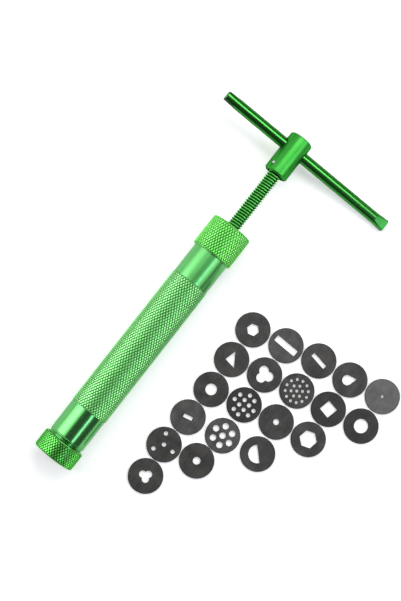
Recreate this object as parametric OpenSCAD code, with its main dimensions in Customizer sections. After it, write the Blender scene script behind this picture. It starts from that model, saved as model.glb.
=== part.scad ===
// Fondant extruder: a barrel with a screw-driven piston, two knurled screw caps and a sliding
// T-bar, lying on its side beside its set of loose dies.
// The axis runs along +Y from the mouth of the front cap to the handle, and +Z is up.
// The origin is the centre of the mouth, in the plane of the front face. Sizes are in millimetres.

/* [Barrel] */
// Outside diameter of the barrel's plain stretches
barrel_d = 19.2; // [18:0.1:24]
// Wall of the barrel between its plain outside and its bore
barrel_wall = 1.85; // [1.4:0.05:2.6]
// Plain stretch in front of the grip
front_plain = 17.2; // [8:0.1:30]
// Length of the knurled grip
grip_len = 79.1; // [40:0.1:110]
// Plain stretch behind the grip
rear_plain = 16.5; // [6:0.1:30]
// Height of the knurl over the plain stretches
knurl_h = 0.3; // [0.1:0.05:0.6]
// Step from the plain outside down to the threaded ends
thread_step = 0.3; // [0.2:0.05:0.8]
// Chamfer on the edges of the barrel's two ends
end_chamfer = 0.4; // [0.1:0.1:0.6]

/* [Caps] */
// Wall of both screw caps around their threads
cap_wall = 1.4; // [1:0.1:3]
// Length of the front cap
front_cap_len = 9.3; // [7:0.1:16]
// Length of the rear cap
rear_cap_len = 16.9; // [13:0.1:26]
// Thickness of the lip that holds the die in the front cap
lip_t = 1.6; // [1:0.1:3]
// Width of the ledge that the die's rim sits on
lip_w = 1.5; // [0.8:0.1:2.5]
// Depth of the rear cap's threaded socket
socket_depth = 9; // [6:0.5:11]
// Bare thread that shows between the front cap and the barrel
front_neck = 1.5; // [0.5:0.1:4]
// Chamfer on the caps' outer edges
cap_chamfer = 0.5; // [0.2:0.1:0.9]

/* [Screw and piston] */
// Outside diameter of the lead screw
screw_d = 7; // [6:0.1:8]
// Length of screw that shows behind the rear cap
screw_out = 33.7; // [5:0.1:90]
// Chamfer on the front end of the screw's thread
screw_chamfer = 0.6; // [0.2:0.1:0.9]
// Diameter of the screw's plain end inside the hub
shank_d = 5; // [3.6:0.1:5.2]
// Diameter of the journal that the piston turns on
journal_d = 4.2; // [3.8:0.1:5]
// Length of the piston
piston_len = 7; // [6:0.1:14]
// Chamfer on the piston's edges
piston_chamfer = 0.3; // [0.1:0.1:0.6]
// Thickness of the sealing ring's cord
seal_cord = 1.8; // [1.2:0.1:2.2]
// Distance from the piston's back to the middle of the sealing ring
seal_from_back = 2.4; // [1.8:0.1:3]
// Diameter of the washer that holds the piston on its journal
washer_d = 8; // [6.6:0.1:9]
// Thickness of that washer
washer_t = 0.8; // [0.5:0.1:1.2]
// Diameter of the piston screw's shank
piston_screw_d = 2.8; // [2:0.1:3]
// Length of the piston screw's shank
piston_screw_len = 8; // [5:0.5:12]
// Diameter of the piston screw's head
piston_screw_head_d = 5.4; // [4.6:0.1:6.4]
// Height of the piston screw's head
piston_screw_head_h = 1.3; // [1:0.1:1.6]
// Width of the cross driven into that head
cross_w = 0.8; // [0.5:0.1:1]
// Length of that cross
cross_len = 3.5; // [2.4:0.1:4.2]
// Depth of that cross
cross_depth = 0.7; // [0.4:0.1:0.9]

/* [Handle] */
// Diameter of the hub
hub_d = 12.5; // [11:0.1:16]
// Length of the hub
hub_len = 21.9; // [20:0.1:30]
// Chamfer on the hub's two ends
hub_chamfer = 0.7; // [0.2:0.1:1.4]
// Distance from the hub's free end to the axis of the bar
bar_from_end = 7; // [4.5:0.1:7.4]
// Depth of the hub's socket for the screw's plain end
hub_socket = 8; // [5:0.1:8.5]
// Depth of the recess that the screw's thread enters
hub_recess = 1.5; // [0.8:0.1:2.5]
// Room around the thread in that recess
recess_room = 0.9; // [0.4:0.1:1.4]
// Diameter of the sliding bar
bar_d = 5.7; // [4.8:0.1:6.5]
// Length of the bar
bar_len = 101.6; // [60:0.1:140]
// How far the bar is slid off centre
bar_offset = 8.4; // [0:0.1:14]
// Thickness of the bar's squeezed ends at their tips
squeeze_t = 4.2; // [3.4:0.1:4.4]
// Step from the round bar down to the start of a flat
squeeze_step = 0.3; // [0.1:0.05:0.4]
// Growth of the bar's width over each squeezed side at the tips
squeeze_bulge = 0.4; // [0.3:0.05:0.8]
// Length of the flats on the squeezed ends
squeeze_len = 6.4; // [4:0.1:10]
// Chamfer on the bar's ends
bar_chamfer = 0.4; // [0.1:0.1:0.8]
// Diameter of the pin through hub and screw
pin_d = 2; // [1.5:0.1:2.4]
// Chamfer on the pin's two ends
pin_chamfer = 0.3; // [0.1:0.05:0.4]
// How far the pin's ends lie under the hub's surface
pin_sink = 0.1; // [0.05:0.05:0.5]
// Distance from the hub's screw end to the pin
pin_from_end = 3.8; // [3.2:0.1:6]
// Turn of the pin from the bar's direction
pin_turn = 140; // [0:5:180]

/* [Dies] */
// Thickness of a die
die_t = 1.5; // [1:0.1:2]
// How far a die's rim stands inside the thread that it drops through
die_inset = 0.55; // [0.4:0.05:1]
// Chamfer on a die's rim
die_chamfer = 0.25; // [0.1:0.05:0.4]

/* [Die openings] */
// Width of the small hexagon across its flats
hexagon_small = 5.4; // [4:0.1:7]
// Width of the large hexagon across its flats
hexagon_large = 7.8; // [7:0.1:10]
// Side of the square
square_side = 6; // [4:0.1:9]
// Longest side of the triangle
triangle_base = 8.2; // [5:0.1:9]
// Height of the triangle's point over that side
triangle_h = 4.5; // [3:0.1:6]
// Diameter of the widest round opening
round_widest = 7.1; // [6.5:0.1:10]
// Diameter of the large round opening
round_large = 5.7; // [4.5:0.1:6.4]
// Diameter of the medium round opening
round_medium = 3.8; // [3.4:0.1:4.4]
// Diameter of the small round opening
round_small = 3; // [2.2:0.1:3.3]
// Diameter of the pinhole
pinhole = 1.5; // [1:0.1:2]
// Length of the wide slot
slot_wide_len = 12.6; // [9:0.1:13.5]
// Width of the wide slot
slot_wide_w = 3.2; // [2.4:0.1:4]
// Length of the narrow slot
slot_narrow_len = 8.7; // [6:0.1:12]
// Width of the narrow slot
slot_narrow_w = 2.1; // [1:0.1:2.3]
// Length of the short slot
slot_short_len = 4.7; // [3:0.1:6]
// Width of the short slot
slot_short_w = 1.8; // [1:0.1:2.3]
// Radius of the large trefoil's lobes
trefoil_large = 2.4; // [2:0.1:2.8]
// Radius of the small trefoil's lobes
trefoil_small = 1.8; // [1.2:0.1:1.9]
// Share of a lobe's radius between its centre and the trefoil's
trefoil_reach = 0.9; // [0.8:0.02:0.98]
// Radius of the teardrop's round end
teardrop_r = 2.5; // [1.5:0.1:3.2]
// Distance of that round end's centre from the die's
teardrop_back = 1.4; // [0.5:0.1:2.5]
// Distance of the teardrop's point from the die's centre
teardrop_point = 3.4; // [2.8:0.1:5]
// Radius of the half moon
half_moon_r = 4.6; // [3:0.1:6.5]
// Distance of the half moon's straight edge from the die's centre
half_moon_edge = 0.4; // [0:0.1:1]
// Diameter of the four holes
four_hole_d = 2.1; // [1.4:0.1:3]
// Radius of the ring that three of the four holes lie on
four_ring_r = 5.5; // [4:0.1:5.6]
// Diameter of the seven holes
seven_hole_d = 3.2; // [2:0.1:3.6]
// Radius of the ring that six of the seven holes lie on
seven_ring_r = 4.8; // [4.4:0.1:5.2]
// Diameter of the twelve holes
twelve_hole_d = 2.1; // [1.2:0.1:2.4]
// Distance between the twelve holes' centres
twelve_pitch = 3.45; // [3:0.05:3.7]
// Diameter of the nineteen holes
nineteen_hole_d = 1.5; // [0.8:0.1:1.9]
// Distance between the rings of the nineteen holes
nineteen_pitch = 2.85; // [2.5:0.05:3]

/* [Laid-out dies] */
// Clear room between the caps and the first column of dies
lay_clear = 21.9; // [6:0.1:60]
// Distance of the foremost die's place from the front face
lay_front = 19.3; // [0:0.1:60]
// Gap between neighbouring places
lay_gap = 0.4; // [0.3:0.1:6]
// Lean of the columns towards the tool, from one place to the next
lay_lean = 0.5; // [0:0.1:1]
// Shift of each column towards the handle
lay_stagger = 3.3; // [0:0.1:8]

/* [Clearances] */
// Around the threaded ends inside the caps
thread_gap = 0.15; // [0.1:0.05:0.3]
// Around the die in its seat
die_gap = 0.15; // [0.1:0.05:0.3]
// Between the front cap's seat and the barrel's end, which bears on the die alone
seat_gap = 0.2; // [0.1:0.05:0.5]
// Around the piston in the bore
piston_gap = 0.15; // [0.12:0.01:0.3]
// Around the sealing ring in the bore and at the foot of its groove
seal_gap = 0.05; // [0.03:0.01:0.1]
// On each side of the sealing ring in its groove
groove_gap = 0.2; // [0.1:0.05:0.4]
// Around the journal in the piston
journal_gap = 0.1; // [0.08:0.01:0.2]
// End float of the piston on its journal, at each end
end_float = 0.1; // [0.05:0.01:0.2]
// Around the washer in the piston's recess
washer_gap = 0.4; // [0.2:0.05:0.6]
// Around the piston screw in its hole
piston_screw_gap = 0.05; // [0.02:0.01:0.1]
// Around the screw in the rear cap
nut_gap = 0.1; // [0.05:0.01:0.2]
// Around the screw's plain end in the hub, and at its foot
shank_gap = 0.05; // [0.03:0.01:0.1]
// Around the pin
pin_gap = 0.02; // [0.01:0.01:0.05]
// Around the bar in the hub
bar_gap = 0.1; // [0.05:0.01:0.2]
// Between the bar's low end and the surface that the tool lies on
rest_gap = 0.05; // [0.02:0.01:0.1]

/* [Hidden] */
$fn = 96;

GREEN = [0.24, 0.72, 0.3];
DEEP_GREEN = [0.1, 0.42, 0.16];
STEEL = [0.72, 0.73, 0.75];
CHARCOAL = [0.24, 0.24, 0.25];
RUBBER = [0.08, 0.08, 0.08];

// Cutters run past the faces that they cut by this much
over = 1;

// Radii around the axis
barrel_r = barrel_d / 2;
grip_r = barrel_r + knurl_h;
bore_r = barrel_r - barrel_wall;
thread_r = barrel_r - thread_step;
socket_r = thread_r + thread_gap;
cap_r = socket_r + cap_wall;
die_r = thread_r - die_inset;
seat_r = die_r + die_gap;
mouth_r = die_r - lip_w;
screw_r = screw_d / 2;
shank_r = shank_d / 2;
journal_r = journal_d / 2;
piston_r = bore_r - piston_gap;
seal_outer_r = bore_r - seal_gap;
groove_r = seal_outer_r - seal_cord - seal_gap;
recess_r = washer_d / 2 + washer_gap;
piston_screw_r = piston_screw_d / 2;
hub_r = hub_d / 2;
pin_r = pin_d / 2;
bar_r = bar_d / 2;
squeeze_r = bar_r + squeeze_bulge;

// Places along the axis, from the front face
barrel_y = lip_t + die_t;
front_end_len = front_cap_len + front_neck - barrel_y;
grip_y = barrel_y + front_end_len + front_plain;
rear_cap_y = grip_y + grip_len + rear_plain;
rear_end_len = socket_depth - end_chamfer;
rear_face_y = rear_cap_y + rear_cap_len;
hub_y = rear_face_y + screw_out;
hub_end_y = hub_y + hub_len;
bar_y = hub_end_y - bar_from_end;
// With the hub against the rear cap the piston would just meet the die
piston_y = barrel_y + screw_out;
recess_depth = piston_screw_head_h + washer_t + 2 * end_float;
journal_y = piston_y + recess_depth - end_float;
screw_y = piston_y + piston_len + end_float;
seal_y = piston_y + piston_len - seal_from_back;
groove_w = seal_cord + 2 * groove_gap;

// The tool lies on its two caps, and the bar's long end rests beside it
ground_z = -cap_r;
bar_reach = bar_len / 2 + bar_offset;
bar_drop = cap_r - rest_gap;
bar_tilt = asin(bar_drop / norm([bar_reach, squeeze_t / 2])) - atan2(squeeze_t / 2, bar_reach);

// The loose dies lie in columns beside the tool, each one die shorter than the last
die_pitch = 2 * die_r + lay_gap;
column_pitch = sqrt(pow(die_pitch, 2) - pow(lay_stagger, 2));
place_pitch = sqrt(pow(die_pitch, 2) - pow(lay_lean, 2));
first_column_x = cap_r + lay_clear + die_r;
function place_x(column, place) =
    first_column_x + column * column_pitch - (column + place) * lay_lean;
function place_y(column, place) =
    lay_front + (column + place) * place_pitch + column * lay_stagger;

// Places a shape that is drawn along +Z on the tool's axis, at a distance from the front face
module on_axis(y) {
    translate([0, y, 0])
        rotate([-90, 0, 0])
            children();
}

// Turns hub, pin and bar to where the bar's long end rests
module handle_turn() {
    rotate([0, bar_tilt, 0])
        children();
}

// Revolves an outline of [radius, height] points
module turned(outline) {
    rotate_extrude()
        polygon(outline);
}

module barrel() {
    front = front_end_len;
    grip = front + front_plain;
    rear = grip + grip_len + rear_plain;
    end = rear + rear_end_len;
    color(GREEN)
        on_axis(barrel_y)
            turned([
                [bore_r + end_chamfer, 0],
                [thread_r - end_chamfer, 0],
                [thread_r, end_chamfer],
                [thread_r, front],
                [barrel_r, front],
                [barrel_r, grip],
                [grip_r, grip + knurl_h],
                [grip_r, grip + grip_len - knurl_h],
                [barrel_r, grip + grip_len],
                [barrel_r, rear],
                [thread_r, rear],
                [thread_r, end - end_chamfer],
                [thread_r - end_chamfer, end],
                [bore_r + end_chamfer, end],
                [bore_r, end - end_chamfer],
                [bore_r, end_chamfer]
            ]);
}

module front_cap() {
    seat_top = barrel_y - seat_gap;
    color(GREEN)
        on_axis(0)
            turned([
                [mouth_r, 0],
                [cap_r - cap_chamfer, 0],
                [cap_r, cap_chamfer],
                [cap_r, front_cap_len - cap_chamfer],
                [cap_r - cap_chamfer, front_cap_len],
                [socket_r, front_cap_len],
                [socket_r, seat_top],
                [seat_r, seat_top],
                [seat_r, lip_t],
                [mouth_r, lip_t]
            ]);
}

module rear_cap() {
    color(GREEN)
        on_axis(rear_cap_y)
            turned([
                [socket_r, 0],
                [cap_r - cap_chamfer, 0],
                [cap_r, cap_chamfer],
                [cap_r, rear_cap_len - cap_chamfer],
                [cap_r - cap_chamfer, rear_cap_len],
                [screw_r + nut_gap, rear_cap_len],
                [screw_r + nut_gap, socket_depth],
                [socket_r, socket_depth]
            ]);
}

// Places a shape that is drawn along +Z on the pin's axis, with zero at the hub's axis
module across_hub() {
    translate([0, hub_y + pin_from_end, 0])
        handle_turn()
            rotate([0, 90 - pin_turn, 0])
                children();
}

// Cuts the pin's hole
module pin_hole() {
    across_hub()
        cylinder(r = pin_r + pin_gap, h = hub_d + 2 * over, center = true);
}

module lead_screw() {
    thread_end = hub_y + hub_recess;
    shank_end = thread_end + hub_socket - shank_gap;
    hole_end = journal_y - washer_t + piston_screw_len + over;
    hole_r = piston_screw_r + piston_screw_gap;
    color(DEEP_GREEN)
        difference() {
            on_axis(0)
                turned([
                    [hole_r, journal_y],
                    [journal_r, journal_y],
                    [journal_r, screw_y],
                    [screw_r - screw_chamfer, screw_y],
                    [screw_r, screw_y + screw_chamfer],
                    [screw_r, thread_end],
                    [shank_r, thread_end],
                    [shank_r, shank_end],
                    [0, shank_end],
                    [0, hole_end],
                    [hole_r, hole_end]
                ]);
            pin_hole();
        }
}

module piston() {
    groove = piston_len - seal_from_back - groove_w / 2;
    hole_r = journal_r + journal_gap;
    color(STEEL)
        on_axis(piston_y)
            turned([
                [recess_r, 0],
                [piston_r - piston_chamfer, 0],
                [piston_r, piston_chamfer],
                [piston_r, groove],
                [groove_r, groove],
                [groove_r, groove + groove_w],
                [piston_r, groove + groove_w],
                [piston_r, piston_len - piston_chamfer],
                [piston_r - piston_chamfer, piston_len],
                [hole_r, piston_len],
                [hole_r, recess_depth],
                [recess_r, recess_depth]
            ]);
}

module piston_seal() {
    cord_r = seal_cord / 2;
    color(RUBBER)
        on_axis(seal_y)
            rotate_extrude()
                translate([seal_outer_r - cord_r, 0])
                    circle(r = cord_r);
}

module piston_washer() {
    hole_r = piston_screw_r + piston_screw_gap;
    color(STEEL)
        on_axis(journal_y - washer_t)
            difference() {
                cylinder(d = washer_d, h = washer_t);
                translate([0, 0, -over])
                    cylinder(r = hole_r, h = washer_t + 2 * over);
            }
}

module piston_screw() {
    head_r = piston_screw_head_d / 2;
    color(STEEL)
        on_axis(journal_y - washer_t - piston_screw_head_h)
            difference() {
                union() {
                    cylinder(r = head_r, h = piston_screw_head_h);
                    cylinder(r = piston_screw_r, h = piston_screw_head_h + piston_screw_len);
                }
                for (turn = [0, 90])
                    rotate(turn)
                        cube([cross_len, cross_w, 2 * cross_depth], center = true);
            }
}

module handle_hub() {
    socket_end = hub_recess + hub_socket;
    socket_wall = shank_r + shank_gap;
    recess_wall = screw_r + recess_room;
    color(GREEN)
        difference() {
            on_axis(hub_y)
                turned([
                    [recess_wall, 0],
                    [hub_r - hub_chamfer, 0],
                    [hub_r, hub_chamfer],
                    [hub_r, hub_len - hub_chamfer],
                    [hub_r - hub_chamfer, hub_len],
                    [0, hub_len],
                    [0, socket_end],
                    [socket_wall, socket_end],
                    [socket_wall, hub_recess],
                    [recess_wall, hub_recess]
                ]);
            along_bar()
                cylinder(r = bar_r + bar_gap, h = hub_d + 2 * over, center = true);
            pin_hole();
        }
}

module hub_pin() {
    end = hub_r - pin_sink;
    color(STEEL)
        across_hub()
            turned([
                [0, -end],
                [pin_r - pin_chamfer, -end],
                [pin_r, pin_chamfer - end],
                [pin_r, end - pin_chamfer],
                [pin_r - pin_chamfer, end],
                [0, end]
            ]);
}

// Places a shape that is drawn along +Z on the bar's axis, with zero at the hub's axis
module along_bar() {
    translate([0, bar_y, 0])
        handle_turn()
            rotate([0, 90, 0])
                children();
}

// Takes both flats off a squeezed end whose tip is at zero and whose bar runs along +Z
module squeeze_cut() {
    tip = squeeze_t / 2;
    start = bar_r - squeeze_step;
    grade = (start - tip) / squeeze_len;
    top = squeeze_r + over;
    width = 2 * top;
    for (side = [0, 180])
        rotate(side)
            rotate([90, 0, 0])
                linear_extrude(width, center = true)
                    polygon([
                        [tip - grade * over, -over],
                        [top, -over],
                        [top, squeeze_len],
                        [start, squeeze_len]
                    ]);
}

module handle_bar() {
    low = bar_offset - bar_len / 2;
    high = bar_offset + bar_len / 2;
    flare = squeeze_len - squeeze_step;
    color(DEEP_GREEN)
        along_bar()
            difference() {
                turned([
                    [0, low],
                    [squeeze_r - bar_chamfer, low],
                    [squeeze_r, low + bar_chamfer],
                    [bar_r, low + flare],
                    [bar_r, high - flare],
                    [squeeze_r, high - bar_chamfer],
                    [squeeze_r - bar_chamfer, high],
                    [0, high]
                ]);
                translate([0, 0, low])
                    rotate(90)
                        squeeze_cut();
                translate([0, 0, high])
                    mirror([0, 0, 1])
                        squeeze_cut();
            }
}

// A die standing on its lower face, with an opening of the outline that is given
module die() {
    color(CHARCOAL)
        difference() {
            turned([
                [0, 0],
                [die_r - die_chamfer, 0],
                [die_r, die_chamfer],
                [die_r, die_t - die_chamfer],
                [die_r - die_chamfer, die_t],
                [0, die_t]
            ]);
            translate([0, 0, -over])
                linear_extrude(die_t + 2 * over)
                    children();
        }
}

// A die lying near its place among the loose ones, turned as it was put down
module lay(column, place, turn, nudge) {
    translate([place_x(column, place) + nudge.x, place_y(column, place) + nudge.y, ground_z])
        rotate(turn)
            die()
                children();
}

module hexagon(flats) {
    circle(d = flats / cos(30), $fn = 6);
}

module slot(length, width) {
    square([length, width], center = true);
}

// The triangle's point is on +X, and its middle is over the die's
module triangle() {
    base_x = -triangle_h / 3;
    polygon([
        [base_x, -triangle_base / 2],
        [base_x + triangle_h, 0],
        [base_x, triangle_base / 2]
    ]);
}

module trefoil(lobe_r) {
    for (turn = [0 : 120 : 240])
        rotate(turn)
            translate([lobe_r * trefoil_reach, 0])
                circle(r = lobe_r);
}

module teardrop() {
    reach = teardrop_back + teardrop_point;
    lean = acos(teardrop_r / reach);
    translate([-teardrop_back, 0]) {
        circle(r = teardrop_r);
        polygon([
            teardrop_r * [cos(lean), -sin(lean)],
            [reach, 0],
            teardrop_r * [cos(lean), sin(lean)]
        ]);
    }
}

module half_moon() {
    intersection() {
        circle(r = half_moon_r);
        translate([half_moon_edge - half_moon_r, 0])
            square(2 * half_moon_r, center = true);
    }
}

module hole_ring(count, ring_r, hole_d) {
    for (hole = [0 : count - 1])
        rotate(hole * 360 / count)
            translate([ring_r, 0])
                circle(d = hole_d);
}

module seven_holes() {
    circle(d = seven_hole_d);
    hole_ring(6, seven_ring_r, seven_hole_d);
}

// Four rows of four without the corners
module twelve_holes() {
    for (across = [-1.5 : 1.5], along = [-1.5 : 1.5])
        if (abs(across) + abs(along) < 3)
            translate(twelve_pitch * [across, along])
                circle(d = twelve_hole_d);
}

module nineteen_holes() {
    circle(d = nineteen_hole_d);
    hole_ring(6, nineteen_pitch, nineteen_hole_d);
    hole_ring(12, 2 * nineteen_pitch, nineteen_hole_d);
}

module four_holes() {
    circle(d = four_hole_d);
    hole_ring(3, four_ring_r, four_hole_d);
}

module fitted_die() {
    on_axis(lip_t)
        die()
            seven_holes();
}

barrel();
front_cap();
fitted_die();
rear_cap();
lead_screw();
piston();
piston_seal();
piston_washer();
piston_screw();
handle_hub();
hub_pin();
handle_bar();
lay(0, 0, 185, [-0.2, 0.2]) trefoil(trefoil_small);  // die_trefoil_small
lay(0, 1, 118, [-2, -0.1]) four_holes();  // die_four_holes
lay(0, 2, 12, [-0.5, -0.2]) slot(slot_short_len, slot_short_w);  // die_slot_short
lay(0, 3, 0, [0.6, -0.4]) circle(d = round_large);  // die_round_large
lay(0, 4, 213, [0, -0.5]) triangle();  // die_triangle
lay(0, 5, 15, [-0.2, -0.4]) hexagon(hexagon_small);  // die_hexagon_small
lay(1, 0, 0, [-2.1, 0.2]) circle(d = round_medium);  // die_round_medium
lay(1, 1, 49, [0.9, -0.2]) seven_holes();  // die_seven_holes
lay(1, 2, -13, [0.5, 0.3]) twelve_holes();  // die_twelve_holes
lay(1, 3, 135, [-0.1, 0.2]) trefoil(trefoil_large);  // die_trefoil_large
lay(1, 4, -2, [-0.1, 0.2]) slot(slot_wide_len, slot_wide_w);  // die_slot_wide
lay(2, 0, 44, [2.4, 0]) half_moon();  // die_half_moon
lay(2, 1, 0, [0.5, 0.1]) circle(d = round_small);  // die_round_small
lay(2, 2, 35, [-0.3, 0.5]) nineteen_holes();  // die_nineteen_holes
lay(2, 3, -11, [-0.3, 1]) slot(slot_narrow_len, slot_narrow_w);  // die_slot_narrow
lay(3, 0, 19, [0.6, -0.2]) hexagon(hexagon_large);  // die_hexagon_large
lay(3, 1, -13, [-0.1, -0.3]) square(square_side, center = true);  // die_square
lay(3, 2, 42, [0, -0.2]) teardrop();  // die_teardrop
lay(4, 0, 0, [0.1, -0.2]) circle(d = round_widest);  // die_round_widest
lay(4, 1, 0, [0.1, -0.1]) circle(d = pinhole);  // die_pinhole
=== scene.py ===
"""Looks of a fondant extruder: a knurled, anodised screw press and its set of dies.

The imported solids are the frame. Each class models one sub-assembly over them in the same place and
size, dresses it and lets it ride on the body that carries it. Lengths are written in millimetres.
"""

import logging
import math
from dataclasses import dataclass, field, replace
from enum import Enum
from typing import Any, ClassVar, Optional, Sequence, Union

import bpy
from mathutils import Matrix, Vector


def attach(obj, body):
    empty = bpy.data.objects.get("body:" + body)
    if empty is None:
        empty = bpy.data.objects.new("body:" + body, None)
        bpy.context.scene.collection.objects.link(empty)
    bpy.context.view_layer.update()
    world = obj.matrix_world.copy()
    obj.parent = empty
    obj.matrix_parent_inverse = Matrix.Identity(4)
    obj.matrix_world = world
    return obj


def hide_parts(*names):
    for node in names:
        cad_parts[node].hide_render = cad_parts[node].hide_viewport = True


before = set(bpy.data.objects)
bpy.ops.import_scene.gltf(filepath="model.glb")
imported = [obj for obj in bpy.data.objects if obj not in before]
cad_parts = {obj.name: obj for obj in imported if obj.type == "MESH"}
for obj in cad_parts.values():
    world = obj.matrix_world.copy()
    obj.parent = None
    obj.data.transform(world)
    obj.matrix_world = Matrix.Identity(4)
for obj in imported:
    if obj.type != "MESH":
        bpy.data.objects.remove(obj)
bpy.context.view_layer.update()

MM = 0.001
FULL_TURN = 2 * math.pi
Outline = Sequence[tuple[float, float]]
Colour = tuple[float, float, float]
Triple = tuple[float, float, float]
EVEN: Triple = (1.0, 1.0, 1.0)
LOG = logging.getLogger("fondant_extruder")


class Slot(Enum):
    """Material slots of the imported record."""

    GREEN = "green_anodised"
    DEEP_GREEN = "dark_green_anodised"
    BARE = "bare_aluminium"
    STEEL = "bright_steel"
    DIE = "charcoal_die"
    RUBBER = "black_rubber"


class Axis(Enum):
    """Axes of the shared frame, by number."""

    X = 0
    Y = 1
    Z = 2


class Facing(Enum):
    """Directions that the flat faces of small pieces look along."""

    UP = (0.0, 0.0, 1.0)
    TOOL = (0.0, 1.0, 0.0)
    PIN = (-0.766, 0.0, 0.643)


class Ease(Enum):
    """Ways to go from 0 to 1 over a range."""

    STRAIGHT = "LINEAR"
    SMOOTH = "SMOOTHSTEP"


class Socket:
    """A shader socket that takes part in Python arithmetic."""

    def __init__(self, shader: "Shader", socket: Optional[bpy.types.NodeSocket]) -> None:
        """Wraps an output of a shader's tree, or none for a node that ends the tree."""
        self.shader = shader
        self.socket = socket

    def _math(self, operation: str, first: Any, second: Any) -> "Socket":
        """Adds a Math node.

        Args:
            operation: Name of the Math node's operation.
            first: Number or socket on the left.
            second: Number or socket on the right.

        Returns:
            The node's result.
        """
        return self.shader.add("ShaderNodeMath", {"operation": operation}, {0: first, 1: second})

    def __add__(self, other: Any) -> "Socket":
        """Adds a number or a socket."""
        return self._math("ADD", self, other)

    __radd__ = __add__

    def __sub__(self, other: Any) -> "Socket":
        """Takes a number or a socket away."""
        return self._math("SUBTRACT", self, other)

    def __rsub__(self, other: Any) -> "Socket":
        """Takes this socket away from a number."""
        return self._math("SUBTRACT", other, self)

    def __mul__(self, other: Any) -> "Socket":
        """Multiplies by a number or a socket."""
        return self._math("MULTIPLY", self, other)

    __rmul__ = __mul__


class Shader:
    """Node tree of one material or of the world."""

    # Squared share of a normal along a direction, where an edge ends and where a flat face begins.
    EDGE_LEAN = 0.6
    FACE_LEAN = 0.95

    def __init__(self, tree: bpy.types.NodeTree) -> None:
        """Empties the tree, so that every node in it is made here."""
        self.tree = tree
        self.tree.nodes.clear()

    def add(self, kind: str, settings: Optional[dict[str, Any]] = None,
            sockets: Optional[dict[Union[str, int], Any]] = None, output: Union[str, int] = 0) -> Socket:
        """Adds a node.

        Args:
            kind: Type of the node.
            settings: Properties that are set first; "stops" gives a colour ramp's stops.
            sockets: Values or links of its inputs, by name or number.
            output: Output that is handed back, by name or number.

        Returns:
            The chosen output.
        """
        node = self.tree.nodes.new(kind)
        for name, value in (settings or {}).items():
            if name == "stops":
                while len(node.color_ramp.elements) < len(value):
                    node.color_ramp.elements.new(1.0)
                for element, (place, colour) in zip(node.color_ramp.elements, value):
                    element.position = place
                    element.color = (*colour, 1.0)
            else:
                setattr(node, name, value)
        for name, value in (sockets or {}).items():
            if isinstance(value, Socket):
                self.tree.links.new(value.socket, node.inputs[name])
            else:
                node.inputs[name].default_value = value
        return Socket(self, node.outputs[output] if len(node.outputs) else None)

    def mix(self, share: Any, first: Any, second: Any) -> Socket:
        """Mixes two colours.

        Args:
            share: Share of the second colour, a number or a socket.
            first: Colour or socket at share 0.
            second: Colour or socket at share 1.

        Returns:
            The mixed colour.
        """
        wide = [(*c, 1.0) if isinstance(c, tuple) else c for c in (first, second)]
        return self.add("ShaderNodeMix", {"data_type": "RGBA"}, {0: share, 6: wide[0], 7: wide[1]}, 2)

    def place(self, stretch: Triple = EVEN) -> Socket:
        """Object coordinates, each times its factor."""
        where = self.add("ShaderNodeTexCoord", output="Object")
        return self.add("ShaderNodeMapping", {}, {"Vector": where, "Scale": stretch})

    def part(self, vector: Socket, axis: Axis) -> Socket:
        """A vector's share along one axis."""
        return self.add("ShaderNodeSeparateXYZ", {}, {0: vector}, axis.value)

    def within(self, value: Socket, low: float, high: float, ease: Ease = Ease.STRAIGHT) -> Socket:
        """Tells how far a value has come through a range.

        Args:
            value: Value that is compared.
            low: Value that gives 0, as any smaller one does.
            high: Value that gives 1, as any greater one does.
            ease: Way from 0 to 1.

        Returns:
            The share of the range.
        """
        values = {"Value": value, "From Min": low, "From Max": high}
        return self.add("ShaderNodeMapRange", {"interpolation_type": ease.value}, values)

    def faces(self, facing: Facing) -> Socket:
        """Finds the flat faces that look along a direction or against it.

        Args:
            facing: The direction.

        Returns:
            1 on such faces and 0 on edges and walls.
        """
        normal = self.add("ShaderNodeTexCoord", output="Normal")
        values = {0: normal, 1: facing.value}
        lean = self.add("ShaderNodeVectorMath", {"operation": "DOT_PRODUCT"}, values, "Value")
        return self.within(lean * lean, self.EDGE_LEAN, self.FACE_LEAN)

    def noise(self, scale: float, detail: float = 2.0, weight: float = 0.5, stretch: Triple = EVEN) -> Socket:
        """Adds a noise pattern on Object coordinates.

        Args:
            scale: Waves per metre.
            detail: Number of finer layers.
            weight: Weight of the finer layers.
            stretch: Factor on the waves along each axis; a small one draws them out.

        Returns:
            The noise's value, between 0 and 1.
        """
        values = {"Vector": self.place(stretch), "Scale": scale, "Detail": detail, "Roughness": weight}
        return self.add("ShaderNodeTexNoise", {"noise_dimensions": "3D"}, values)

    def bump(self, height: Socket, relief: float, strength: float = 1.0) -> Socket:
        """Bends the normal by a height.

        Args:
            height: Height between 0 and 1.
            relief: Height of 1, in millimetres.
            strength: Strength of the effect.

        Returns:
            The bent normal.
        """
        values = {"Height": height, "Distance": relief * MM, "Strength": strength}
        return self.add("ShaderNodeBump", {}, values)

    def surface(self, **sockets: Any) -> None:
        """Ends the tree in a Principled shader.

        Args:
            sockets: Values or links of the shader's inputs, with _ for each space in a name.
        """
        named = {name.replace("_", " "): value for name, value in sockets.items()}
        shader = self.add("ShaderNodeBsdfPrincipled", {}, named)
        self.add("ShaderNodeOutputMaterial", {}, {"Surface": shader})


@dataclass(frozen=True)
class Finish:
    """What every finish has: a name and the record's slot that it belongs to."""

    made: ClassVar[dict["Finish", bpy.types.Material]] = {}

    name: str
    slot: Slot

    def material(self) -> bpy.types.Material:
        """Hands out the finish's material.

        Returns:
            The material, which is made on first use.
        """
        if self not in Finish.made:
            material = bpy.data.materials.new(self.name)
            material.use_nodes = True
            self.paint(Shader(material.node_tree))
            Finish.made[self] = material
        return Finish.made[self]

    def paint(self, shader: Shader) -> None:
        """Fills the material's tree, in each finish's own way."""
        raise NotImplementedError


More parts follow.
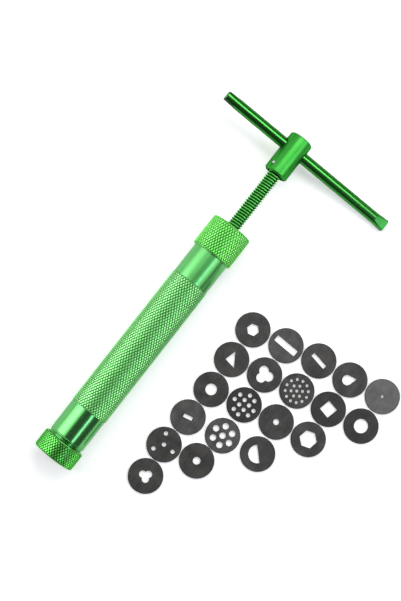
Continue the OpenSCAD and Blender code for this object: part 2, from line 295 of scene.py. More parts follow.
@dataclass(frozen=True)
class GrooveShade:
    """Painted shade in the grooves between knurls or threads: their crest's radius, their depth and the
    shade's colour.
    """

    crest: float
    depth: float
    colour: Colour


@dataclass(frozen=True)
class Satin:
    """A rougher stretch: the place where it is reached, the run up to it and the roughness it adds."""

    start: float
    run: float
    roughness: float


@dataclass(frozen=True)
class Anodised(Finish):
    """Dyed anodised aluminium: a tinted metal under a clear oxide layer."""

    colour: Colour
    worn: Colour
    roughness: float
    spread: float
    grain: float
    relief: float
    streaks: Triple = EVEN
    metal: float = 1.0
    edge: Colour = (0.3, 0.6, 0.3)
    coat: float = 0.1
    coat_roughness: float = 0.12
    groove: Optional[GrooveShade] = None
    satin: Optional[Satin] = None
    cloud_share: float = 0.5
    mark_share: float = 0.35
    unworn: float = 0.2

    def tint(self, shader: Shader, marks: Socket) -> Socket:
        """Mixes the dye's colour.

        Args:
            shader: Tree that is filled.
            marks: Pattern of the drawn marks.

        Returns:
            Colour that drifts in clouds and marks, with painted shade darkening it towards the foot of the
            grooves.
        """
        cloud = shader.noise(60.0, detail=3.0)
        share = cloud * self.cloud_share + marks * self.mark_share - self.unworn
        tint = shader.mix(share, self.colour, self.worn)
        if self.groove is None:
            return tint
        # Painted shade: the tint darkens to the shade's colour towards the foot of the knurls or threads.
        across = shader.place((1.0, 0.0, 1.0))
        radius = shader.add("ShaderNodeVectorMath", {"operation": "LENGTH"}, {0: across}, "Value")
        foot = (self.groove.crest - self.groove.depth) * MM
        height = shader.within(radius, foot, self.groove.crest * MM, Ease.SMOOTH)
        return shader.mix(height, self.groove.colour, tint)

    def paint(self, shader: Shader) -> None:
        """Fills the tree: the tint, marks in roughness and relief, and the oxide as a coat.

        Args:
            shader: Tree that is filled.
        """
        marks = shader.noise(self.grain, detail=4.0, weight=0.6, stretch=self.streaks)
        rough = marks * self.spread
        if self.satin is not None:
            along = shader.part(shader.place(), Axis.Y)
            start, run = self.satin.start, self.satin.run
            behind = shader.within(along, (start - run) * MM, start * MM, Ease.SMOOTH)
            rough = rough + behind * self.satin.roughness
        shader.surface(
            Base_Color=self.tint(shader, marks),
            Metallic=self.metal,
            Roughness=rough + (self.roughness - self.spread / 2),
            Specular_IOR_Level=0.0,
            Specular_Tint=(*self.edge, 1.0),
            Coat_Weight=self.coat,
            Coat_Roughness=self.coat_roughness,
            Normal=shader.bump(marks, self.relief),
        )


@dataclass(frozen=True)
class Blackened(Finish):
    """Blackened steel of the dies: faces rubbed in clouds and marks; edges and the walls of the openings near
    black, partly unrubbed blackening and partly painted shade.
    """

    colour: Colour = (0.019, 0.018, 0.016)
    rubbed: Colour = (0.057, 0.053, 0.048)
    black: Colour = (0.008, 0.008, 0.008)
    roughness: float = 0.55
    spread: float = 0.2
    relief: float = 0.02
    facing: Facing = Facing.UP
    cloud_share: float = 0.5
    brush_share: float = 0.3
    speck_share: float = 0.2
    rub_range: tuple[float, float] = (0.4, 0.6)

    def paint(self, shader: Shader) -> None:
        """Fills the tree: clouds, brush marks and speckles on the faces, and a fine tumbled relief.

        Args:
            shader: Tree that is filled.
        """
        cloud = shader.noise(150.0, detail=4.0, weight=0.65)
        brush = shader.noise(1500.0, detail=3.0, weight=0.6, stretch=(1.0, 0.06, 1.0))
        speck = shader.noise(2600.0, weight=0.7)
        wear = cloud * self.cloud_share + brush * self.brush_share + speck * self.speck_share
        face = shader.mix(shader.within(wear, *self.rub_range), self.colour, self.rubbed)
        shader.surface(
            # Edges and the walls of the openings take the near-black colour: partly unrubbed blackening,
            # partly painted shade in the openings and along the rims.
            Base_Color=shader.mix(shader.faces(self.facing), self.black, face),
            Metallic=0.0,
            Roughness=speck * self.spread + (self.roughness - self.spread / 2),
            Specular_IOR_Level=0.4,
            Normal=shader.bump(speck, self.relief, strength=0.6),
        )


@dataclass(frozen=True)
class BareMetal(Finish):
    """Undyed metal with turning marks."""

    colour: Colour
    roughness: float
    spread: float = 0.15
    smoothest: float = 0.07
    relief: float = 0.004
    shade: float = 0.8

    def paint(self, shader: Shader) -> None:
        """Fills the tree: fine rings across the axis and slow clouds.

        Args:
            shader: Tree that is filled.
        """
        rings = shader.noise(4000.0, stretch=(0.02, 1.0, 0.02))
        cloud = shader.noise(120.0, detail=3.0)
        shader.surface(
            Base_Color=shader.mix(cloud, self.colour, tuple(self.shade * c for c in self.colour)),
            Metallic=1.0,
            Roughness=rings * self.spread + (self.roughness - self.smoothest),
            Normal=shader.bump(rings, self.relief),
        )


@dataclass(frozen=True)
class PinSteel(Finish):
    """Steel of the cross pin: bright on its ends, with painted shade round their chamfers for the shadow in
    the gap round the pin.
    """

    colour: Colour = (0.8, 0.8, 0.79)
    painted_shade: Colour = (0.004, 0.02, 0.005)
    roughness: float = 0.36
    spread: float = 0.2

    def paint(self, shader: Shader) -> None:
        """Fills the tree: metal on the ends and dull painted shade elsewhere.

        Args:
            shader: Tree that is filled.
        """
        end = shader.faces(Facing.PIN)
        cloud = shader.noise(900.0, detail=3.0)
        shader.surface(
            # Painted shade: everything but the ends takes the dark colour, standing in for the shadow in the
            # gap round the pin.
            Base_Color=shader.mix(end, self.painted_shade, self.colour),
            Metallic=end,
            Roughness=cloud * self.spread + (self.roughness - self.spread / 2),
        )


@dataclass(frozen=True)
class Rubber(Finish):
    """Black moulded rubber."""

    colour: Colour = (0.012, 0.012, 0.013)
    bloom: Colour = (0.03, 0.03, 0.03)
    bloom_share: float = 0.6
    smoothest: float = 0.5
    spread: float = 0.2
    relief: float = 0.01

    def paint(self, shader: Shader) -> None:
        """Fills the tree: matt black with a faint bloom."""
        cloud = shader.noise(400.0, detail=3.0)
        shader.surface(
            Base_Color=shader.mix(cloud * self.bloom_share, self.colour, self.bloom),
            Roughness=cloud * self.spread + self.smoothest,
            Normal=shader.bump(cloud, self.relief),
        )


BARREL_GREEN = Anodised(
    "barrel_green", Slot.GREEN, colour=(0.075, 0.4, 0.088), worn=(0.145, 0.52, 0.145),
    roughness=0.22, spread=0.04, grain=2200.0, relief=0.0003, streaks=(1.0, 0.02, 1.0),
    edge=(0.2, 0.5, 0.2), coat=0.8, coat_roughness=0.2, satin=Satin(100.0, 20.0, 0.12))
KNURL_GREEN = Anodised(
    "knurl_green", Slot.GREEN, colour=(0.34, 0.95, 0.32), worn=(0.52, 1.0, 0.48), metal=0.86,
    roughness=0.38, spread=0.12, grain=1500.0, relief=0.003, groove=GrooveShade(9.83, 0.21, (0.004, 0.17, 0.006)))
CAP_GREEN = Anodised(
    "cap_green", Slot.GREEN, colour=(0.2, 0.7, 0.14), worn=(0.36, 0.84, 0.26),
    roughness=0.36, spread=0.12, grain=1500.0, relief=0.003)
CAP_KNURL = Anodised(
    "cap_knurl", Slot.GREEN, colour=(0.25, 0.93, 0.18), worn=(0.42, 1.0, 0.32), metal=0.86,
    roughness=0.38, spread=0.12, grain=1500.0, relief=0.003, groove=GrooveShade(10.76, 0.19, (0.003, 0.17, 0.003)))
# The front cap's knurl is a darker copy of the rear cap's, with blacker grooves and darker edges: painted
# shade over the front cap.
FRONT_KNURL_SHADED = replace(
    CAP_KNURL, name="front_knurl_shaded", colour=(0.17, 0.82, 0.13), worn=(0.31, 0.97, 0.25), metal=1.0,
    roughness=0.36, edge=(0.02, 0.12, 0.02), coat=0.0, groove=GrooveShade(10.83, 0.2, (0.001, 0.045, 0.001)))
HUB_GREEN = Anodised(
    "hub_green", Slot.GREEN, colour=(0.024, 0.29, 0.024), worn=(0.1, 0.52, 0.1),
    roughness=0.36, spread=0.14, grain=900.0, relief=0.002, streaks=(1.0, 0.04, 1.0),
    edge=(0.02, 0.1, 0.02), coat_roughness=0.3)
BAR_GREEN = Anodised(
    "bar_green", Slot.DEEP_GREEN, colour=(0.036, 0.25, 0.036), worn=(0.07, 0.35, 0.066),
    roughness=0.24, spread=0.04, grain=2600.0, relief=0.0003, streaks=(0.02, 1.0, 1.0),
    edge=(0.01, 0.06, 0.01), coat=0.12, coat_roughness=0.22)
SCREW_GREEN = Anodised(
    "screw_green", Slot.DEEP_GREEN, colour=(0.16, 0.74, 0.14), worn=(0.28, 0.88, 0.25),
    roughness=0.3, spread=0.12, grain=1800.0, relief=0.002, edge=(0.01, 0.05, 0.01), coat=0.0,
    groove=GrooveShade(3.5, 0.84, (0.008, 0.1, 0.008)))
PISTON_METAL = BareMetal("piston_metal", Slot.BARE, colour=(0.7, 0.71, 0.72), roughness=0.32)
JOURNAL_STEEL = BareMetal("journal_steel", Slot.STEEL, colour=(0.8, 0.8, 0.79), roughness=0.36)
CROSS_PIN_STEEL = PinSteel("cross_pin_steel", Slot.STEEL)
SEAL_RUBBER = Rubber("seal_rubber", Slot.RUBBER)
DIE_PLAIN = Blackened("die_plain", Slot.DIE)
DIE_DARK = Blackened("die_dark", Slot.DIE, colour=(0.01, 0.0095, 0.009), rubbed=(0.031, 0.03, 0.028))
DIE_WORN = Blackened("die_worn", Slot.DIE, colour=(0.035, 0.034, 0.032), rubbed=(0.086, 0.083, 0.078))
DIE_GREY = Blackened(
    "die_grey", Slot.DIE, colour=(0.074, 0.073, 0.071), rubbed=(0.136, 0.134, 0.128), roughness=0.5)
DIE_FITTED = Blackened("die_fitted", Slot.DIE, facing=Facing.TOOL)


class Bench:
    """Modelling steps that every sub-assembly uses."""

    # Points nearer than this are merged, in metres: in a chain, in a piece and in a copied solid.
    CHAIN_WELD = 1e-7
    WELD = 1e-6
    SOLID_WELD = 2e-6
    # Faces of a copied solid that bend by less than FLAT are joined, and edges that bend by more than
    # SHARP count as sharp, both in degrees.
    FLAT = 0.6
    SHARP = 32.0
    # Faces across a rounded edge, and the weight of large faces on the normals beside them.
    EDGE_FACES = 2
    FACE_WEIGHT = 100
    # Shares of the pitch where a thread's flank begins and where its crest begins and ends.
    FLANK_START = 0.14
    CREST_START = 0.49
    CREST_END = 0.65
    # Share of the core's radius that a thread's cut ends are drawn in to.
    TUCK = 0.98

    @staticmethod
    def clear() -> None:
        """Leaves edit mode and deselects every object."""
        if bpy.context.object is not None and bpy.context.object.mode != "OBJECT":
            bpy.ops.object.mode_set(mode="OBJECT")
        bpy.ops.object.select_all(action="DESELECT")

    @staticmethod
    def pick(obj: bpy.types.Object) -> None:
        """Makes an object the only selected and the active one.

        Args:
            obj: Object that the next operators act on.
        """
        Bench.clear()
        obj.select_set(True)
        bpy.context.view_layer.objects.active = obj

    @staticmethod
    def close_up() -> None:
        """Merges the doubles of the mesh in edit mode and turns its faces outwards."""
        bpy.ops.mesh.select_all(action="SELECT")
        bpy.ops.mesh.remove_doubles(threshold=Bench.WELD)
        bpy.ops.mesh.normals_make_consistent(inside=False)

    @staticmethod
    def chain(name: str, points: Outline, closed: bool) -> bpy.types.Object:
        """Draws a chain of edges in the half plane of radius and axis.

        Args:
            name: Name of the new object.
            points: Radius and place along the axis of each point.
            closed: Whether the last point is joined to the first.

        Returns:
            The object, in edit mode with everything selected.
        """
        Bench.clear()
        bpy.ops.mesh.primitive_plane_add(size=MM)
        obj = bpy.context.object
        obj.name = obj.data.name = name
        bpy.ops.object.mode_set(mode="EDIT")
        bpy.ops.mesh.select_all(action="SELECT")
        bpy.ops.mesh.merge(type="CENTER")
        path = [Vector((r * MM, y * MM, 0.0)) for r, y in points]
        bpy.ops.transform.translate(value=path[0])
        for last, point in zip(path, path[1:] + (path[:1] if closed else [])):
            bpy.ops.mesh.extrude_vertices_move(TRANSFORM_OT_translate={"value": point - last})
        bpy.ops.mesh.select_all(action="SELECT")
        bpy.ops.mesh.remove_doubles(threshold=Bench.CHAIN_WELD)
        bpy.ops.mesh.select_all(action="SELECT")
        return obj

    @staticmethod
    def turned(name: str, outline: Outline, steps: int = 128) -> bpy.types.Object:
        """Turns a closed outline round the tool's axis.

        Args:
            name: Name of the new piece.
            outline: Radius and place along the axis of each corner.
            steps: Number of faces round the axis.

        Returns:
            The closed piece.
        """
        obj = Bench.chain(name, outline, True)
        bpy.ops.mesh.spin(steps=steps, angle=FULL_TURN, center=(0, 0, 0), axis=(0, 1, 0))
        Bench.close_up()
        bpy.ops.object.mode_set(mode="OBJECT")
        return obj

    @staticmethod
    def soften(obj: bpy.types.Object, width: float) -> None:
        """Rounds an object's sharp edges and shades the rest smooth.

        Args:
            obj: Object that is finished.
            width: Width of the rounding; 0 leaves the edges sharp.
        """
        Bench.pick(obj)
        sharp = math.radians(Bench.SHARP)
        if width > 0:
            bevel = obj.modifiers.new("edges", "BEVEL")
            bevel.width = width * MM
            bevel.segments = Bench.EDGE_FACES
            bevel.limit_method = "ANGLE"
            bevel.angle_limit = sharp
            bpy.ops.object.modifier_apply(modifier=bevel.name)
        bpy.ops.object.shade_smooth_by_angle(angle=sharp)
        even = obj.modifiers.new("normals", "WEIGHTED_NORMAL")
        even.weight = Bench.FACE_WEIGHT
        even.keep_sharp = True
        bpy.ops.object.modifier_apply(modifier=even.name)

    @staticmethod
    def knurl(name: str, crest: float, height: float, start: float, end: float,
              diamond: tuple[float, float], slope: float = 0.27) -> bpy.types.Object:
        """Raises a diamond knurl on a round surface.

        Args:
            name: Name of the new piece.
            crest: Radius over the diamonds' tops.
            height: Height of the diamonds.
            start: Place along the axis where the knurl begins.
            end: Place along the axis where it ends.
            diamond: Width and length of a diamond.
            slope: Width of a diamond's sloping side as a share of the diamond.

        Returns:
            The knurled band, with straight ends.
        """
        width, length = diamond
        flank = slope * width * length / math.hypot(width, length)
        around = 2 * round(FULL_TURN * crest / width)
        rows = 2 * round((end - start) / length)
        step = (end - start) / rows * MM
        Bench.clear()
        bpy.ops.mesh.primitive_circle_add(
            vertices=around, radius=(crest - height) * MM, location=(0, start * MM, 0),
            rotation=(math.pi / 2, 0, 0))
        obj = bpy.context.object
        obj.name = obj.data.name = name
        bpy.ops.object.transform_apply(location=True, rotation=True, scale=True)
        bpy.ops.object.mode_set(mode="EDIT")
        bpy.ops.mesh.select_all(action="SELECT")
        bpy.ops.mesh.extrude_region_move(TRANSFORM_OT_translate={"value": (0, step, 0)})
        bpy.ops.object.mode_set(mode="OBJECT")
        repeat = obj.modifiers.new("rows", "ARRAY")
        repeat.count = rows
        repeat.use_relative_offset = False
        repeat.use_constant_offset = True
        repeat.constant_offset_displace = (0, step, 0)
        repeat.use_merge_vertices = True
        repeat.merge_threshold = Bench.WELD
        bpy.ops.object.modifier_apply(modifier=repeat.name)
        bpy.ops.object.mode_set(mode="EDIT")
        bpy.ops.mesh.select_all(action="SELECT")
        bpy.ops.mesh.unsubdivide(iterations=1)
        bpy.ops.mesh.select_all(action="SELECT")
        bpy.ops.mesh.normals_make_consistent(inside=False)
        bpy.ops.mesh.inset(thickness=flank * MM, depth=height * MM, use_individual=True)
        bpy.ops.object.mode_set(mode="OBJECT")
        return obj

    @staticmethod
    def thread(name: str, root: float, crest: float, pitch: float, start: float, end: float,
               steps: int) -> bpy.types.Object:
        """Winds a right-hand thread round the tool's axis.

        Args:
            name: Name of the new piece.
            root: Radius at the foot of the thread.
            crest: Radius over the thread.
            pitch: Advance of one turn.
            start: Place along the axis where it begins.
            end: Place along the axis where it ends.
            steps: Number of faces in a turn.

        Returns:
            The thread, cut off square and turned in to its core at both ends.
        """
        low = start - pitch
        obj = Bench.chain(name, [
            (root, low), (root, low + Bench.FLANK_START * pitch), (crest, low + Bench.CREST_START * pitch),
            (crest, low + Bench.CREST_END * pitch), (root, low + pitch)], False)
        bpy.ops.object.mode_set(mode="OBJECT")
        wind = obj.modifiers.new("turns", "SCREW")
        wind.axis = "Y"
        wind.angle = FULL_TURN
        wind.screw_offset = pitch * MM
        wind.iterations = math.ceil((end - start) / pitch) + 2
        wind.steps = wind.render_steps = steps
        wind.use_merge_vertices = True
        wind.merge_threshold = Bench.WELD
        bpy.ops.object.modifier_apply(modifier=wind.name)
        bpy.ops.object.mode_set(mode="EDIT")
        Bench.close_up()
        shrink = Bench.TUCK * root / crest
        for place, side in ((start, -1), (end, 1)):
            bpy.ops.mesh.select_all(action="SELECT")
            bpy.ops.mesh.bisect(plane_co=(0, place * MM, 0), plane_no=(0, side, 0), clear_outer=True)
            bpy.ops.mesh.extrude_edges_move(TRANSFORM_OT_translate={"value": (0, 0, 0)})
            bpy.ops.transform.resize(value=(shrink, 1, shrink), center_override=(0, place * MM, 0))
        bpy.ops.mesh.select_all(action="SELECT")
        bpy.ops.mesh.normals_make_consistent(inside=False)
        bpy.ops.object.mode_set(mode="OBJECT")
        return obj

    @staticmethod
    def join(first: bpy.types.Object, *others: bpy.types.Object) -> bpy.types.Object:
        """Joins objects into one.

        Args:
            first: Object that the others are joined to.
            others: Objects that go into it.

        Returns:
            The first object, which keeps its name.
        """
        Bench.pick(first)
        for other in others:
            other.select_set(True)
        bpy.ops.object.join()
        return first

    @staticmethod
    def from_solid(node: str, name: str, edge: float) -> bpy.types.Object:
        """Models a piece over a solid: a merged copy with flat faces joined and edges rounded.

        Args:
            node: CAD node that the piece stands for.
            name: Name of the new piece.
            edge: Width of the rounding of its edges.

        Returns:
            The new piece.
        """
        Bench.clear()
        obj = bpy.data.objects.new(name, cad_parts[node].data.copy())
        obj.data.name = name
        obj.data.materials.clear()
        bpy.context.scene.collection.objects.link(obj)
        Bench.pick(obj)
        if obj.data.has_custom_normals:
            bpy.ops.mesh.customdata_custom_splitnormals_clear()
        bpy.ops.object.mode_set(mode="EDIT")
        bpy.ops.mesh.select_all(action="SELECT")
        bpy.ops.mesh.remove_doubles(threshold=Bench.SOLID_WELD)
        bpy.ops.mesh.dissolve_limited(angle_limit=math.radians(Bench.FLAT))
        bpy.ops.object.mode_set(mode="OBJECT")
        Bench.soften(obj, edge)
        return obj

    @staticmethod
    def dress(obj: bpy.types.Object, body: str, finish: Finish, *nodes: str) -> None:
        """Gives a piece its finish and lets it ride.

        Args:
            obj: Finished piece.
            body: CAD body that carries it.
            finish: Its finish.
            nodes: CAD nodes that it stands for.
        """
        obj.data.materials.clear()
        obj.data.materials.append(finish.material())
        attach(obj, body)
        if nodes:
            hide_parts(*nodes)
        LOG.info("%s rides on %s with %d faces", obj.name, body, len(obj.data.polygons))


@dataclass(frozen=True)
class Piece:
    """A piece that is modelled over one solid."""

    node: str
    name: str
    body: str
    finish: Finish
    edge: float

    def build(self) -> None:
        """Builds and dresses the piece."""
        Bench.dress(Bench.from_solid(self.node, self.name, self.edge), self.body, self.finish, self.node)


@dataclass
class Barrel:
    """Tube with a knurled grip and a thread at each end."""

    bore: float = 7.75
    plain: float = 9.6
    crest: float = 9.9
    thread: float = 9.3
    thread_depth: float = 0.32
    thread_pitch: float = 1.0
    thread_steps: int = 96
    thread_gap: float = 0.1
    front: float = 3.1
    front_shoulder: float = 10.8
    grip_start: float = 28.0
    grip_end: float = 107.1
    rear_shoulder: float = 123.6
    rear: float = 132.2
    edge: float = 0.4
    chamfer: float = 0.1
    rounding: float = 0.06
    collar: float = 0.9
    groove: float = 0.15
    diamond: tuple[float, float] = (1.48, 2.37)

    @property
    def core(self) -> float:
        """Radius at the foot of the two threads."""
        return self.thread - self.thread_depth

    def tube(self) -> bpy.types.Object:
        """Builds the tube with the cores of both threads.

        Returns:
            The tube.
        """
        line = self.front_shoulder + self.collar
        obj = Bench.turned("barrel_tube", [
            (self.bore + self.edge, self.front), (self.core - self.chamfer, self.front),
            (self.core, self.front + self.chamfer), (self.core, self.front_shoulder),
            (self.plain - self.groove, self.front_shoulder),
            (self.plain, self.front_shoulder + 2 * self.groove), (self.plain, line - self.groove),
            (self.plain - self.groove, line), (self.plain, line + self.groove),
            (self.plain, self.rear_shoulder), (self.core, self.rear_shoulder),
            (self.core, self.rear - self.chamfer), (self.core - self.chamfer, self.rear),
            (self.bore + self.edge, self.rear), (self.bore, self.rear - self.edge),
            (self.bore, self.front + self.edge)])
        Bench.soften(obj, self.rounding)
        return obj

    def grip(self) -> bpy.types.Object:
        """Builds the knurled grip over the tube."""
        height = self.crest - self.plain
        return Bench.knurl("barrel_grip", self.crest, height, self.grip_start, self.grip_end, self.diamond)

    def threads(self) -> list[bpy.types.Object]:
        """Builds the threads that the two caps screw on to.

        Returns:
            The front thread and the rear one.
        """
        made = []
        for name, start, end in (
                ("barrel_front_thread", self.front + self.edge, self.front_shoulder - self.thread_gap),
                ("barrel_rear_thread", self.rear_shoulder + self.thread_gap, self.rear - self.edge)):
            obj = Bench.thread(
                name, self.core, self.thread, self.thread_pitch, start, end, self.thread_steps)
            Bench.soften(obj, 0.0)
            made.append(obj)
        return made

    def build(self) -> None:
        """Builds and dresses the barrel."""
        Bench.dress(self.tube(), "barrel", BARREL_GREEN, "barrel")
        Bench.dress(self.grip(), "barrel", KNURL_GREEN)
        for obj in self.threads():
            Bench.dress(obj, "barrel", BARREL_GREEN)


@dataclass
class Caps:
    """The two knurled screw caps."""

    crest: float = 10.85
    height: float = 0.3
    chamfer: float = 0.5
    rounding: float = 0.1
    margin: float = 0.3
    socket: float = 9.45
    front_len: float = 9.3
    lip: float = 1.6
    mouth: float = 7.25
    seat: float = 8.9
    seat_end: float = 2.9
    rear_start: float = 123.6
    rear_len: float = 16.9
    socket_depth: float = 9.0
    screw_hole: float = 3.6
    front_diamond: tuple[float, float] = (1.48, 2.3)
    front_slope: float = 0.19
    rear_diamond: tuple[float, float] = (1.42, 2.55)

    def shell(self, name: str, start: float, length: float, inside: Outline) -> bpy.types.Object:
        """Builds a cap without its knurl.

        Args:
            name: Name of the new piece.
            start: Place of its front rim along the axis.
            length: Its length.
            inside: Corners of its inside, from the rear rim to the front one.

        Returns:
            The turned cap.
        """
        base = self.crest - self.height
        rim = self.crest - self.chamfer
        slope = base - rim
        end = start + length
        obj = Bench.turned(name, [
            (rim, start), (base, start + slope), (base, end - slope), (rim, end), *inside])
        Bench.soften(obj, self.rounding)
        return obj

    def build(self) -> None:
        """Builds and dresses both caps."""
        front = self.shell("front_cap_shell", 0.0, self.front_len, [
            (self.socket, self.front_len), (self.socket, self.seat_end), (self.seat, self.seat_end),
            (self.seat, self.lip), (self.mouth, self.lip), (self.mouth, 0.0)])
        Bench.dress(front, "front_cap", CAP_GREEN, "front_cap")
        start, end = self.rear_start, self.rear_start + self.rear_len
        rear = self.shell("rear_cap_shell", start, self.rear_len, [
            (self.screw_hole, end), (self.screw_hole, start + self.socket_depth),
            (self.socket, start + self.socket_depth), (self.socket, start)])
        Bench.dress(rear, "rear_cap", CAP_GREEN, "rear_cap")
        band = Bench.knurl(
            "front_cap_knurl", self.crest, self.height, self.margin, self.front_len - self.margin,
            self.front_diamond, self.front_slope)
        Bench.dress(band, "front_cap", FRONT_KNURL_SHADED)
        band = Bench.knurl(
            "rear_cap_knurl", self.crest, self.height, start + self.margin, end - self.margin,
            self.rear_diamond)
        Bench.dress(band, "rear_cap", CAP_KNURL)


@dataclass
class Drive:
    """Lead screw, hub, pin and sliding bar."""

    crest: float = 3.5
    root: float = 2.66
    pitch: float = 1.4
    thread_start: float = 43.9
    thread_end: float = 175.6
    thread_steps: int = 40
    journal: float = 2.1
    journal_start: float = 39.0
    shank: float = 2.5
    shank_end: float = 183.65
    hole: float = 1.45
    hole_end: float = 47.2
    rod_steps: int = 48
    rounding: float = 0.1
    pieces: tuple[Piece, ...] = (
        Piece("handle_hub", "hub_block", "screw", HUB_GREEN, 0.08),
        Piece("hub_pin", "cross_pin", "screw", CROSS_PIN_STEEL, 0.08),
        Piece("handle_bar", "sliding_bar", "handle_bar", BAR_GREEN, 0.15),
    )

    def screw(self) -> bpy.types.Object:
        """Builds the lead screw with its journal, its thread and its plain end.

        Returns:
            The screw.
        """
        core = Bench.turned("lead_screw_rod", [
            (self.hole, self.journal_start), (self.journal, self.journal_start),
            (self.journal, self.thread_start), (self.root, self.thread_start),
            (self.root, self.thread_end), (self.shank, self.thread_end), (self.shank, self.shank_end),
            (0.0, self.shank_end), (0.0, self.hole_end), (self.hole, self.hole_end)], self.rod_steps)
        Bench.soften(core, self.rounding)
        thread = Bench.thread(
            "lead_screw_thread", self.root, self.crest, self.pitch, self.thread_start, self.thread_end,
            self.thread_steps)
        Bench.soften(thread, 0.0)
        return Bench.join(core, thread)

    def build(self) -> None:
        """Builds and dresses the drive."""
        Bench.dress(self.screw(), "screw", SCREW_GREEN, "lead_screw")
        for piece in self.pieces:
            piece.build()


@dataclass
class Plunger:
    """Piston with its seal and what holds it on the screw."""

    pieces: tuple[Piece, ...] = (
        Piece("piston", "piston_block", "plunger", PISTON_METAL, 0.12),
        Piece("piston_seal", "sealing_ring", "plunger", SEAL_RUBBER, 0.0),
        Piece("piston_washer", "journal_washer", "screw", JOURNAL_STEEL, 0.06),
        Piece("piston_screw", "journal_screw", "screw", JOURNAL_STEEL, 0.06),
    )

    def build(self) -> None:
        """Builds and dresses the plunger."""
        for piece in self.pieces:
            piece.build()


@dataclass
class Dies:
    """The fitted die and the loose ones."""

    edge: float = 0.1
    tones: dict[str, Finish] = field(default_factory=lambda: {
        "die_pinhole": DIE_GREY,
        "die_seven_holes": DIE_WORN,
        "die_slot_short": DIE_WORN,
        "die_slot_wide": DIE_WORN,
        "die_round_widest": DIE_DARK,
        "die_square": DIE_DARK,
        "die_twelve_holes": DIE_DARK,
    })

    def build(self) -> None:
        """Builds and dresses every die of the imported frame."""
        for node in sorted(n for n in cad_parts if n.startswith("die_")):
            name = node.replace("die_", "disc_")
            Piece(node, name, "barrel", self.tones.get(node, DIE_PLAIN), self.edge).build()
        Piece("fitted_die", "disc_fitted", "die_seat", DIE_FITTED, self.edge).build()


@dataclass(frozen=True)
class Lamp:
    """A rectangular soft lamp.

    It leans from overhead towards +X and towards +Y, and its size is what it covers across and along
    the tool, all in degrees. A glow of 1 is the light of a white wall.
    """

    name: str
    lean: tuple[float, float]
    size: tuple[float, float]
    glow: float
    tint: Colour = (1.0, 1.0, 1.0)

    def hang(self, middle: Vector, reach: float) -> None:
        """Hangs the lamp so that it faces the tool.

        Args:
            middle: Place that it faces, in metres.
            reach: Its distance from there, in metres.
        """
        across, along = (math.tan(math.radians(angle)) for angle in self.lean)
        back = Vector((across, along, 1.0)).normalized()
        width, length = (2 * reach * math.tan(math.radians(angle / 2)) for angle in self.size)
        data = bpy.data.lights.new(self.name, "AREA")
        data.shape = "RECTANGLE"
        data.size, data.size_y = width, length
        data.energy = self.glow * math.pi * width * length
        data.color = self.tint
        obj = bpy.data.objects.new(self.name, data)
        obj.location = middle + reach * back
        side = Vector((0.0, 1.0, 0.0))
        side = (side - side.dot(back) * back).normalized()
        obj.rotation_euler = Matrix((side.cross(back), side, back)).transposed().to_euler()
        bpy.context.scene.collection.objects.link(obj)


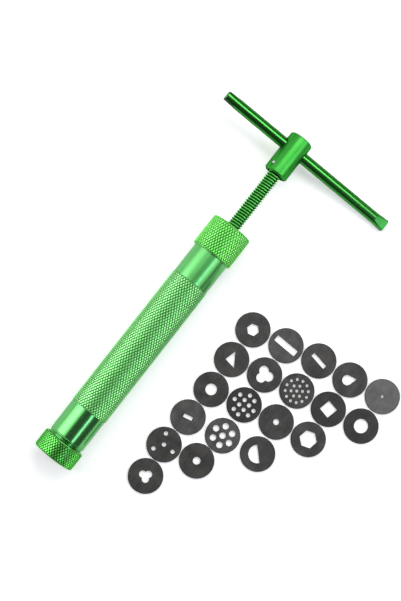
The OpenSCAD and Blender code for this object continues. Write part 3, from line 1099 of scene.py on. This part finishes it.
@dataclass
class Studio:
    """Camera, lamps, world and floor."""

    target: Triple = (9.51, 103.2, 0.0)
    eye: Triple = (9.51, 65.8, 640.0)
    roll: float = 38.05
    lens: float = 79.1
    sensor: float = 36.0
    clip: tuple[float, float] = (10.0, 50000.0)
    middle: Triple = (0.0, 100.0, 0.0)
    reach: float = 900.0
    ground: float = -10.85
    floor_gap: float = 0.02
    floor_size: float = 6000.0
    floor_grey: float = 0.82
    floor_glow: float = 0.4
    sky: tuple[tuple[float, float], ...] = ((0.0, 0.36), (0.3, 0.18), (0.6, 0.1), (1.0, 0.1))
    sky_drift: float = 0.3
    lamps: tuple[Lamp, ...] = (
        Lamp("left_softbox", (-52.0, -8.0), (64.0, 29.0), 1.75),
        Lamp("left_core", (-50.0, -8.0), (34.0, 25.0), 1.9),
        Lamp("right_strip", (37.5, 3.0), (11.0, 34.0), 3.6, (0.92, 1.0, 1.3)),
        Lamp("right_rear", (53.0, 21.0), (26.0, 14.0), 3.8),
        Lamp("rear_softbox", (-1.0, 30.0), (46.0, 25.0), 5.0),
        Lamp("rear_strip", (-10.0, 11.0), (8.0, 16.0), 2.0),
    )

    def camera(self) -> None:
        """Sets up the camera over the tool, turned as the photograph is."""
        eye, target = Vector(self.eye) * MM, Vector(self.target) * MM
        back = (eye - target).normalized()
        turn = math.radians(self.roll)
        up = Vector((-math.sin(turn), math.cos(turn), 0.0))
        up = (up - up.dot(back) * back).normalized()
        right = up.cross(back)
        data = bpy.data.cameras.new("camera")
        data.lens = self.lens
        data.sensor_width = self.sensor
        data.clip_start, data.clip_end = (distance * MM for distance in self.clip)
        obj = bpy.data.objects.new("camera", data)
        obj.matrix_world = Matrix((right, up, back)).transposed().to_4x4()
        obj.location = eye
        bpy.context.scene.collection.objects.link(obj)
        bpy.context.scene.camera = obj

    def world(self) -> None:
        """Surrounds the tool with a dim room, paler towards the horizon and darker on the front right."""
        world = bpy.data.worlds.new("room")
        bpy.context.scene.world = world
        world.use_nodes = True
        shader = Shader(world.node_tree)
        where = shader.add("ShaderNodeTexCoord", output="Generated")
        across, along, height = (shader.part(where, axis) for axis in Axis)
        stops = [(place, (grey, grey, grey)) for place, grey in self.sky]
        colour = shader.add(
            "ShaderNodeValToRGB", {"stops": stops},
            {"Fac": height + across * self.sky_drift - along * self.sky_drift})
        light = shader.add("ShaderNodeBackground", {}, {"Color": colour, "Strength": 1.0})
        shader.add("ShaderNodeOutputWorld", {}, {"Surface": light})

    def floor(self) -> None:
        """Lays the pale floor, which shows white and keeps the tool's shadow."""
        Bench.clear()
        height = (self.ground - self.floor_gap) * MM
        bpy.ops.mesh.primitive_plane_add(
            size=self.floor_size * MM, location=(self.middle[0] * MM, self.middle[1] * MM, height))
        obj = bpy.context.object
        obj.name = "floor"
        bpy.ops.object.transform_apply(location=True, rotation=True, scale=True)
        paint = bpy.data.materials.new("floor_white")
        paint.use_nodes = True
        shader = Shader(paint.node_tree)
        camera, glossy, through = (
            shader.add("ShaderNodeLightPath", output=f"Is {ray} Ray")
            for ray in ("Camera", "Glossy", "Transmission"))
        grey = self.floor_grey
        matt = shader.add("ShaderNodeBsdfDiffuse", {}, {"Color": (grey, grey, grey, 1.0)})
        glow = shader.add(
            "ShaderNodeEmission", {},
            {"Color": (1.0, 1.0, 1.0, 1.0), "Strength": (camera + glossy + through) * self.floor_glow})
        both = shader.add("ShaderNodeAddShader", {}, {0: matt, 1: glow})
        shader.add("ShaderNodeOutputMaterial", {}, {"Surface": both})
        obj.data.materials.append(paint)

    def build(self) -> None:
        """Sets up the whole studio."""
        bpy.context.scene.view_settings.view_transform = "Standard"
        self.camera()
        self.world()
        self.floor()
        for lamp in self.lamps:
            lamp.hang(Vector(self.middle) * MM, self.reach * MM)


def main() -> None:
    """Builds every sub-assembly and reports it."""
    logging.basicConfig(level=logging.INFO, format="%(name)s: %(message)s")
    for part in (Barrel(), Caps(), Drive(), Plunger(), Dies(), Studio()):
        LOG.info("building %s", type(part).__name__)
        part.build()


if __name__ == "__main__":
    main()
